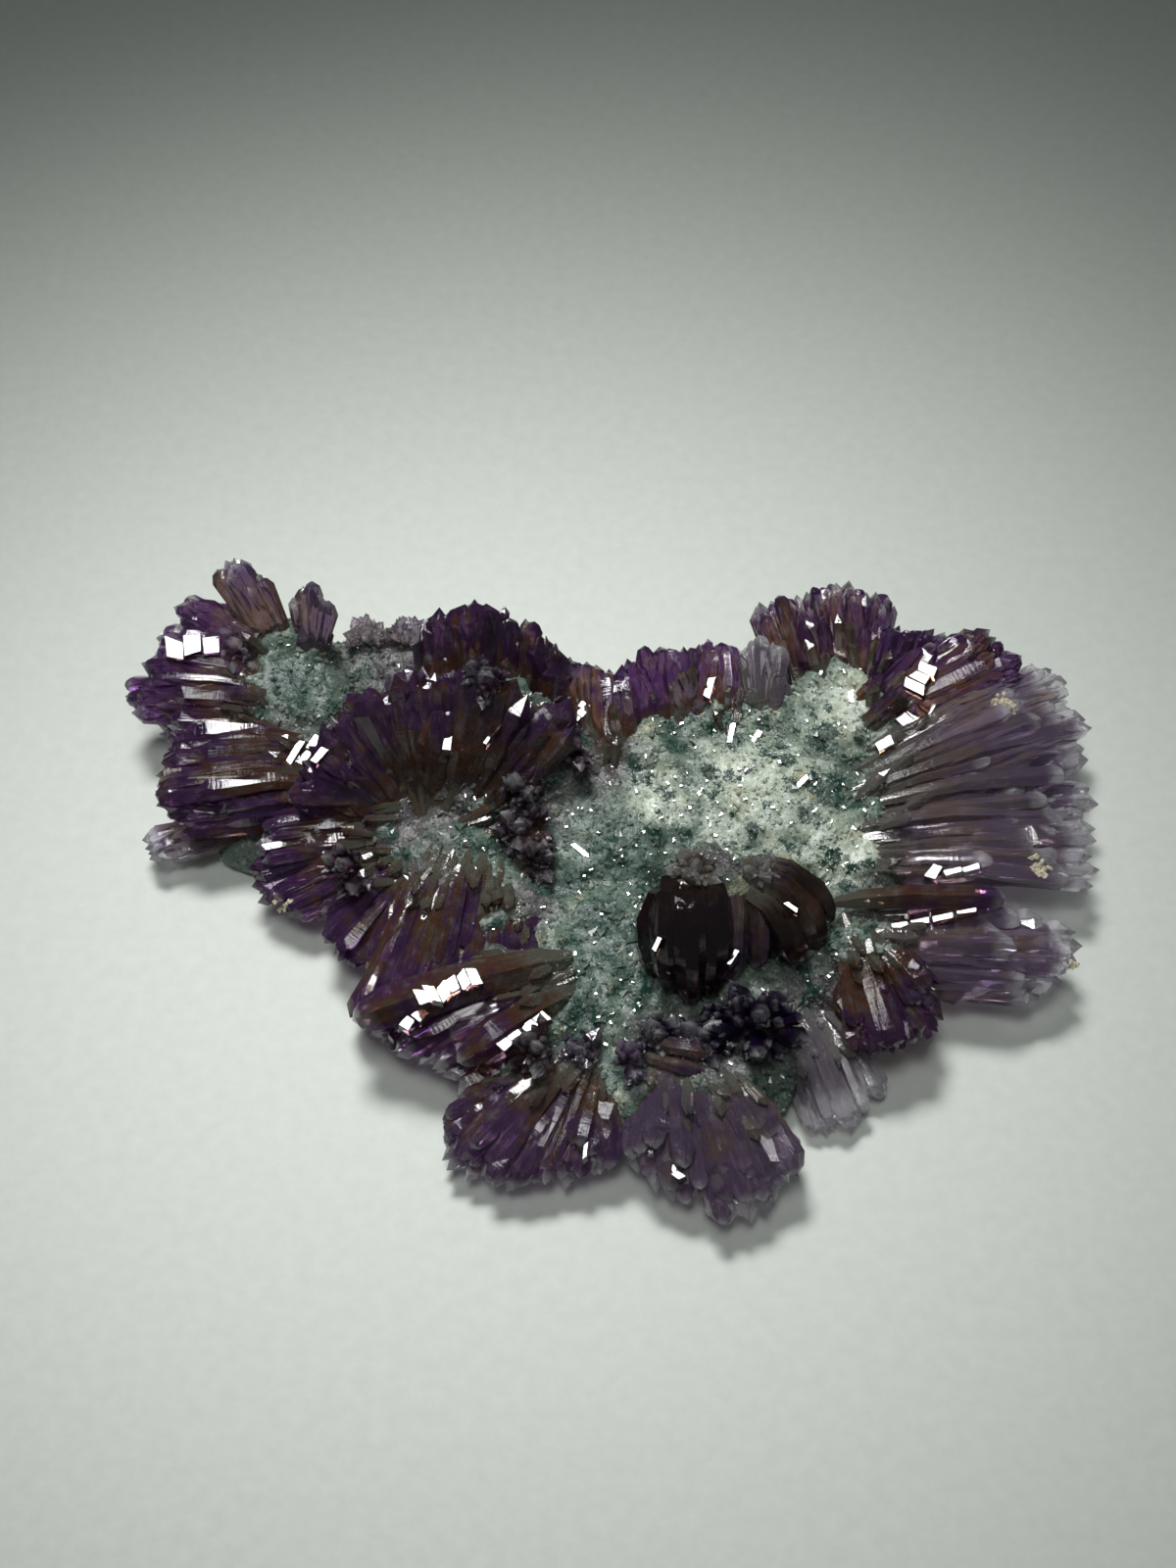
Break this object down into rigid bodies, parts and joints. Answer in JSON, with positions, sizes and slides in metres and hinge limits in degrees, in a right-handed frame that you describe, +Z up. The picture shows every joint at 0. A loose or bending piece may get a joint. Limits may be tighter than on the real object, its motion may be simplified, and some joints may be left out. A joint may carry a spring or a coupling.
{
  "type": "amethyst flower mineral specimen",
  "caption": "Amethyst flower: sprays of violet and smoky quartz crystals spreading outwards from a low pale green quartz matrix with a flat underside.",
  "frame": {"origin": "on the flat underside, in the middle of the outline's box", "axes": "+X along the specimen's length towards the widest spray, +Y across it towards the high rim of the bowl, +Z up from the underside"},
  "size_m": [0.1896, 0.1301, 0.0409],
  "materials": {
    "amethyst": "glassy natural crystal faces, see-through at the tips, violet with smoky brown roots",
    "matrix": "milky quartz crusted with fine sparkling crystals, stained dark green in spots"
  },
  "bodies": {
    "root": {"amethyst_flower": "amethyst"}
  },
  "joints": []
}
